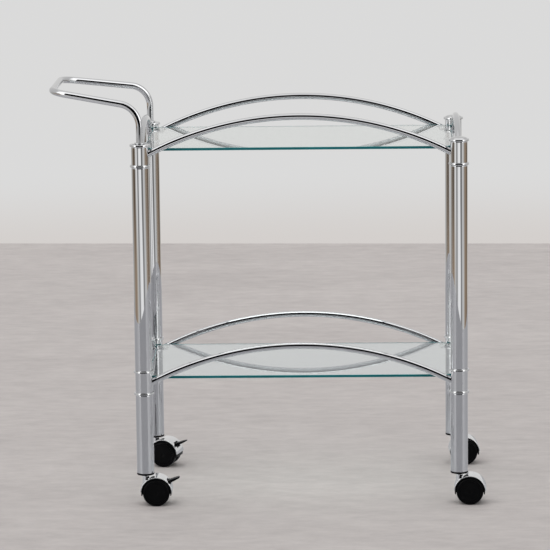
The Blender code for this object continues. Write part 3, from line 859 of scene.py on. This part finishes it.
def floor_material():
    """Pale vinyl floor: matt to look at, with a faint sheen at the low angles seen in the chrome; mirrored in the
    chrome it also takes a painted cooler, bluish tone, a painted reflection colour.
    """
    mat, n, bsdf, out = new_material("pale_floor")
    broad = n.noise(1.6, 5.0, 0.66, (1, 2.4, 1))
    fine = n.noise(15.0, 6.0, 0.72, (1, 2.2, 1))
    base = n.ramp(n.math("ADD", n.math("MULTIPLY", broad, 0.42), n.math("MULTIPLY", fine, 0.58)),
                  [(0.32, (0.440, 0.408, 0.400)), (0.68, (0.590, 0.552, 0.536))])
    n.link(base, bsdf.inputs["Base Color"])
    bsdf.inputs["Roughness"].default_value = 0.75
    bsdf.inputs["Specular IOR Level"].default_value = 0.15
    sheen = n.add("ShaderNodeBsdfGlossy")
    sheen.inputs["Roughness"].default_value = 0.20
    # glossy rays only: a real sheen mixed with a painted reflection tint of the floor
    reflected_sheen_and_painted_tint = n.add("ShaderNodeMixShader")
    reflected_sheen_and_painted_tint.inputs[0].default_value = 0.15
    # painted reflection: glossy rays see the floor in this cooler, bluish diffuse tone, so the floor mirrored in the
    # chrome is painted cooler than it is
    painted_reflection_diffuse = n.add("ShaderNodeBsdfDiffuse")
    n.link(n.mix(0.55, base, (0.46, 0.485, 0.530)), painted_reflection_diffuse.inputs["Color"])
    n.link(painted_reflection_diffuse.outputs["BSDF"], reflected_sheen_and_painted_tint.inputs[1])
    n.link(sheen.outputs["BSDF"], reflected_sheen_and_painted_tint.inputs[2])
    path = n.add("ShaderNodeLightPath")
    both = n.add("ShaderNodeMixShader")
    n.link(path.outputs["Is Glossy Ray"], both.inputs[0])
    n.link(bsdf.outputs["BSDF"], both.inputs[1])
    n.link(reflected_sheen_and_painted_tint.outputs["Shader"], both.inputs[2])
    n.link(both.outputs["Shader"], out.inputs["Surface"])
    return mat


M_FLOOR = floor_material()
FLOOR_R, FLOOR_HALF, FLOOR_BACK = 2.10, 2.80, 2.797


def floor_piece(name, inner, outer_square):
    bm = bmesh.new()
    n = 128
    circle = [bm.verts.new((FLOOR_R * math.cos(2 * math.pi * k / n), FLOOR_R * math.sin(2 * math.pi * k / n), 0.0))
              for k in range(n)]
    if inner:
        bm.faces.new(circle)
    else:
        outer = []
        for k in range(n):
            a = 2 * math.pi * k / n
            s = FLOOR_HALF / max(abs(math.cos(a)), abs(math.sin(a)))
            x, y = s * math.cos(a), s * math.sin(a)
            if math.sin(a) > 0.7071 - 1e-6:
                y = FLOOR_BACK - 0.0453 * x      # the wall is not quite square to the trolley
            outer.append(bm.verts.new((x, y, 0.0)))
        for k in range(n):
            j = (k + 1) % n
            bm.faces.new((circle[k], circle[j], outer[j], outer[k]))
    bmesh.ops.recalc_face_normals(bm, faces=bm.faces)
    mesh = bpy.data.meshes.new(name)
    bm.to_mesh(mesh)
    bm.free()
    if mesh.polygons[0].normal.z < 0:
        mesh.flip_normals()
    mesh.materials.append(M_FLOOR)
    ob = bpy.data.objects.new(name, mesh)
    bpy.context.scene.collection.objects.link(ob)
    return ob


floor_piece("stage_floor", True, False)
far_floor = floor_piece("stage_floor_far", False, True)
far_floor.visible_glossy = False

# ---------------------------------------------------------------------- lights
sun_data = bpy.data.lights.new("overhead_softbox", "SUN")
sun_data.energy = 1.30
sun_data.angle = math.radians(70.0)
sun = bpy.data.objects.new("overhead_softbox", sun_data)
bpy.context.scene.collection.objects.link(sun)
sun.rotation_euler = (math.radians(14.0), math.radians(-8.0), 0.0)
sun.visible_glossy = False


def build_world():
    """Plain pale studio. Seen straight on it is one even tone; mirrored in the chrome it has the
    usual set of a product studio: bright ceiling panel, dark gap in front, pale walls, darker flats at the sides."""
    world = bpy.data.worlds.new("studio")
    world.use_nodes = True
    bpy.context.scene.world = world
    n = Nodes(world.node_tree)
    out = n.add("ShaderNodeOutputWorld")
    place = n.add("ShaderNodeTexCoord")
    xyz = n.add("ShaderNodeSeparateXYZ")
    n.link(place.outputs["Generated"], xyz.inputs[0])
    x, y, z = xyz.outputs
    el = n.math("MULTIPLY", n.math("ARCSINE", z), 180.0 / math.pi)
    az = n.math("MULTIPLY", n.math("ARCTAN2", x, n.math("MULTIPLY", y, -1.0)), 180.0 / math.pi)
    az01 = n.math("MULTIPLY_ADD", az, 1.0 / 360.0, 0.5)

    def at(deg):
        return deg / 360.0 + 0.5

    def grey(v):
        return (v, v * 0.995, v * 0.985)

    def brown(v):
        return (v * 1.26, v * 0.94, v * 0.68)

    def tan(v):
        return (v * 1.10, v * 0.98, v * 0.82)

    # a little under the horizon, round the room
    near_horizon = n.ramp(az01, [
        (at(-180), grey(0.68)), (at(-150), grey(0.60)), (at(-132), grey(0.50)), (at(-114), tan(0.40)), (at(-96), brown(0.14)),
        (at(-74), brown(0.07)), (at(-67), tan(0.45)), (at(-60), grey(0.66)), (at(-46), grey(1.12)), (at(-39), grey(0.80)),
        (at(-32), grey(0.24)), (at(-24), grey(0.22)), (at(-18), grey(0.85)), (at(-12), grey(1.06)), (at(13), grey(1.20)),
        (at(17), grey(0.50)), (at(22), grey(0.16)), (at(32), grey(0.20)), (at(40), grey(0.55)), (at(48), grey(0.86)),
        (at(60), grey(0.66)), (at(72), tan(0.45)), (at(82), brown(0.22)), (at(96), brown(0.34)), (at(112), brown(0.12)),
        (at(128), brown(0.10)), (at(142), tan(0.50)), (at(155), grey(0.60)), (at(180), grey(0.68))])
    lower_down = n.ramp(az01, [
        (at(-180), grey(0.68)), (at(-150), grey(0.60)), (at(-132), grey(0.50)), (at(-110), tan(0.42)), (at(-90), brown(0.29)),
        (at(-74), brown(0.32)), (at(-60), tan(0.55)), (at(-46), grey(0.70)), (at(-38), grey(0.56)),
        (at(-30), grey(0.36)), (at(-22), grey(0.36)), (at(-17), grey(0.90)), (at(-8), grey(1.10)), (at(16), grey(1.18)),
        (at(21), grey(0.70)), (at(26), grey(0.32)), (at(35), grey(0.30)), (at(42), grey(0.55)), (at(50), grey(0.80)),
        (at(64), grey(0.68)), (at(74), tan(0.50)), (at(84), brown(0.32)), (at(100), brown(0.24)),
        (at(126), brown(0.22)), (at(140), tan(0.50)), (at(155), grey(0.60)), (at(180), grey(0.68))])
    low = n.mix(n.span(el, -10.2, -8.2, 0.0, 1.0), lower_down, near_horizon)
    # from the horizon up to the ceiling panel
    high = n.ramp(az01, [
        (at(-180), grey(0.71)), (at(-120), grey(0.66)), (at(-92), grey(0.70)), (at(-78), grey(2.0)), (at(-46), grey(2.0)),
        (at(-41), (0.002, 0.002, 0.003)), (at(41), (0.002, 0.002, 0.003)), (at(46), grey(1.9)), (at(82), grey(1.9)),
        (at(98), grey(0.70)), (at(120), grey(0.66)), (at(180), grey(0.71))])
    # the gap in front is narrower close to the horizon
    edge = n.ramp(az01, [
        (at(-180), grey(0.70)), (at(-120), grey(0.64)), (at(-60), grey(0.60)), (at(-24), grey(0.50)),
        (at(-17), (0.004, 0.004, 0.005)), (at(21), (0.004, 0.004, 0.005)), (at(28), grey(0.42)), (at(70), grey(0.60)),
        (at(120), grey(0.64)), (at(180), grey(0.70))])
    top = n.ramp(az01, [
        (at(-180), grey(0.80)), (at(-90), grey(1.10)), (at(-50), grey(1.9)), (at(-26), grey(1.00)), (at(0), grey(0.78)),
        (at(26), grey(1.00)), (at(50), grey(1.9)), (at(90), grey(1.10)), (at(180), grey(0.80))])
    middle = n.ramp(az01, [
        (at(-180), grey(0.71)), (at(-120), grey(0.62)), (at(-68), grey(0.60)), (at(-58), grey(1.9)), (at(-46), grey(1.9)),
        (at(-41), (0.002, 0.002, 0.003)), (at(41), (0.002, 0.002, 0.003)), (at(46), grey(1.9)), (at(56), grey(1.9)),
        (at(66), grey(0.60)), (at(120), grey(0.62)), (at(180), grey(0.71))])
    over = n.mix(n.span(el, 11.0, 15.0, 0.0, 1.0), middle, high)
    upper = n.mix(n.span(el, -6.6, -4.6, 0.0, 1.0), edge, over)
    low_or_high = n.mix(n.span(el, -7.9, -7.3, 0.0, 1.0), low, upper)
    sides_up = n.mix(n.span(el, 49.0, 56.0, 0.0, 1.0), low_or_high, top)
    mirrored = n.mix(n.span(el, 62.0, 74.0, 0.0, 1.0), sides_up, grey(1.10))

    # seen straight on the wall is even, a trace warmer where it nears the floor
    plain = n.add("ShaderNodeBackground")
    n.link(n.mix(n.span(el, -9.5, -8.1, 0.0, 1.0), (0.655, 0.625, 0.605), (0.703, 0.702, 0.700)), plain.inputs["Color"])
    glossy = n.add("ShaderNodeBackground")
    n.link(mirrored, glossy.inputs["Color"])
    fill = n.add("ShaderNodeBackground")
    fill.inputs["Color"].default_value = (0.56, 0.56, 0.56, 1.0)
    path = n.add("ShaderNodeLightPath")
    first = n.add("ShaderNodeMixShader")
    n.link(path.outputs["Is Glossy Ray"], first.inputs[0])
    n.link(plain.outputs[0], first.inputs[1])
    n.link(glossy.outputs[0], first.inputs[2])
    second = n.add("ShaderNodeMixShader")
    n.link(path.outputs["Is Diffuse Ray"], second.inputs[0])
    n.link(first.outputs[0], second.inputs[1])
    n.link(fill.outputs[0], second.inputs[2])
    n.link(second.outputs[0], out.inputs["Surface"])


build_world()
